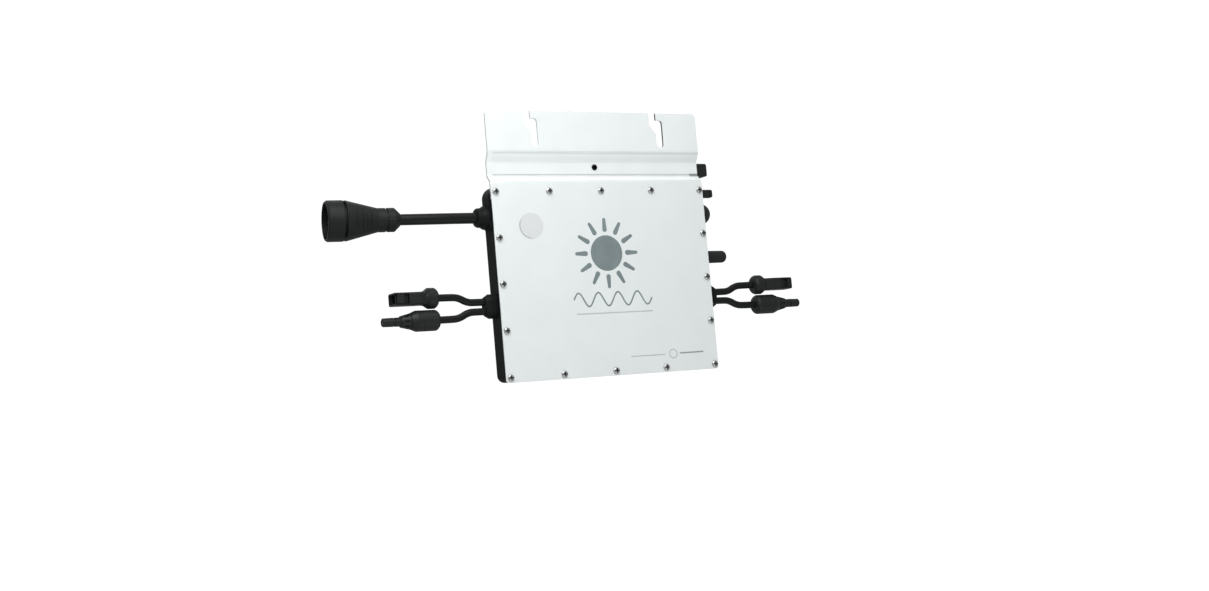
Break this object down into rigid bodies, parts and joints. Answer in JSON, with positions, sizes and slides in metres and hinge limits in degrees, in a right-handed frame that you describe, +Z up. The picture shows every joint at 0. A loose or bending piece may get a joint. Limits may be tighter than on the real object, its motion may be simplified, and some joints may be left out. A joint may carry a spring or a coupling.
{
  "type": "dual-input micro-inverter",
  "caption": "Flat solar micro-inverter in a black case with a screwed silver cover, a hook-slot hanging flange, an AC trunk lead with a locking-ring plug and paired DC leads.",
  "frame": {"origin": "on the rail side of the hanging flange's upper plate, in the middle of its width, midway up the plate", "axes": "+X to the right as seen from the cover, +Y from the cover towards the rail and the back of the case, +Z up towards the flange's open slots"},
  "size_m": [0.5366, 0.0534, 0.2746],
  "materials": {
    "case_black": "black powder coat, fine texture",
    "cover_silver": "pale silver lacquer on aluminium, satin",
    "flange_silver": "clear anodised, satin",
    "screw_steel": "stainless, satin",
    "insert_oxide": "black oxide steel",
    "seal_rubber": "matt",
    "label_white": "matt film",
    "board_green": "solder resist",
    "ferrite_grey": "sintered, matt",
    "copper_wire": "enamelled copper wire",
    "capacitor_sleeve": "shrink sleeve",
    "film_box": "moulded box",
    "relay_case": "moulded case",
    "spreader_aluminium": "milled",
    "pad_grey": "filled silicone",
    "package_black": "epoxy moulding",
    "fuse_body": "ceramic tube and clips",
    "terminal_green": "moulded terminal",
    "wire_insulation": "silicone insulation",
    "cable_jacket": "matt cable jacket",
    "gland_black": "moulded nylon",
    "ac_plug_black": "moulded nylon, fine texture",
    "insert_black": "moulded contact carrier",
    "dc_plug_black": "moulded polycarbonate, satin",
    "contact_metal": "tin-plated copper",
    "fitting_black": "moulded plastic, satin"
  },
  "bodies": {
    "root": {"ac_cable": "cable_jacket", "ac_gland": "gland_black", "ac_gland_seal": "seal_rubber", "ac_plug_body": "ac_plug_black", "ac_plug_contacts": "contact_metal", "ac_plug_insert": "insert_black", "ac_plug_nut": "ac_plug_black", "ac_plug_seal": "seal_rubber", "antenna_stub": "fitting_black", "board_screws": "screw_steel", "cable_clip": "fitting_black", "case_body": "case_black", "choke_coil": "copper_wire", "choke_core": "ferrite_grey", "circuit_board": "board_green", "control_module": "board_green", "cover_gasket": "seal_rubber", "cover_plate": "cover_silver", "cover_screws": "screw_steel", "film_capacitors": "film_box", "grid_relays": "relay_case", "ground_insert": "insert_oxide", "heat_spreader": "spreader_aluminium", "inner_wires": "wire_insulation", "input_capacitors": "capacitor_sleeve", "left_dc_gland": "gland_black", "left_lower_lead": "cable_jacket", "left_lower_plug_body": "dc_plug_black", "left_lower_plug_nut": "dc_plug_black", "left_lower_plug_socket": "contact_metal", "left_transformer_coil": "copper_wire", "left_transformer_core": "ferrite_grey", "left_upper_lead": "cable_jacket", "left_upper_plug_body": "dc_plug_black", "left_upper_plug_nut": "dc_plug_black", "left_upper_plug_pin": "contact_metal", "line_fuse": "fuse_body", "mounting_flange": "flange_silver", "power_transistors": "package_black", "right_dc_gland": "gland_black", "right_lower_lead": "cable_jacket", "right_lower_plug_body": "dc_plug_black", "right_lower_plug_nut": "dc_plug_black", "right_lower_plug_socket": "contact_metal", "right_transformer_coil": "copper_wire", "right_transformer_core": "ferrite_grey", "right_upper_lead": "cable_jacket", "right_upper_plug_body": "dc_plug_black", "right_upper_plug_nut": "dc_plug_black", "right_upper_plug_pin": "contact_metal", "round_label": "label_white", "service_plug": "fitting_black", "terminal_blocks": "terminal_green", "thermal_pad": "pad_grey", "trunk_port_plug": "fitting_black"},
    "ac_plug_locking_ring": {"ac_plug_locking_ring": "ac_plug_black"},
    "left_front_latch_arm": {"left_front_latch": "dc_plug_black"},
    "left_rear_latch_arm": {"left_rear_latch": "dc_plug_black"},
    "right_front_latch_arm": {"right_front_latch": "dc_plug_black"},
    "right_rear_latch_arm": {"right_rear_latch": "dc_plug_black"}
  },
  "joints": [
    {"name": "ac_ring_turn", "type": "hinge", "parent": "root", "child": "ac_plug_locking_ring", "pos_m": [-0.28025, 0.02613, -0.08457], "axis": [-0.9883, 0.1512, 0.0175], "range_deg": [0, 45]},
    {"name": "left_front_latch_press", "type": "hinge", "parent": "root", "child": "left_front_latch_arm", "pos_m": [-0.2195, 0.00305, -0.1648], "axis": [0, 0, -1], "range_deg": [0, 4], "stiffness_Nm_per_rad": 1.2},
    {"name": "left_rear_latch_press", "type": "hinge", "parent": "root", "child": "left_rear_latch_arm", "pos_m": [-0.2195, 0.01695, -0.1648], "axis": [0, 0, 1], "range_deg": [0, 4], "stiffness_Nm_per_rad": 1.2},
    {"name": "right_front_latch_press", "type": "hinge", "parent": "root", "child": "right_front_latch_arm", "pos_m": [0.2195, 0.00305, -0.1648], "axis": [0, 0, 1], "range_deg": [0, 4], "stiffness_Nm_per_rad": 1.2},
    {"name": "right_rear_latch_press", "type": "hinge", "parent": "root", "child": "right_rear_latch_arm", "pos_m": [0.2195, 0.01695, -0.1648], "axis": [0, 0, -1], "range_deg": [0, 4], "stiffness_Nm_per_rad": 1.2}
  ]
}
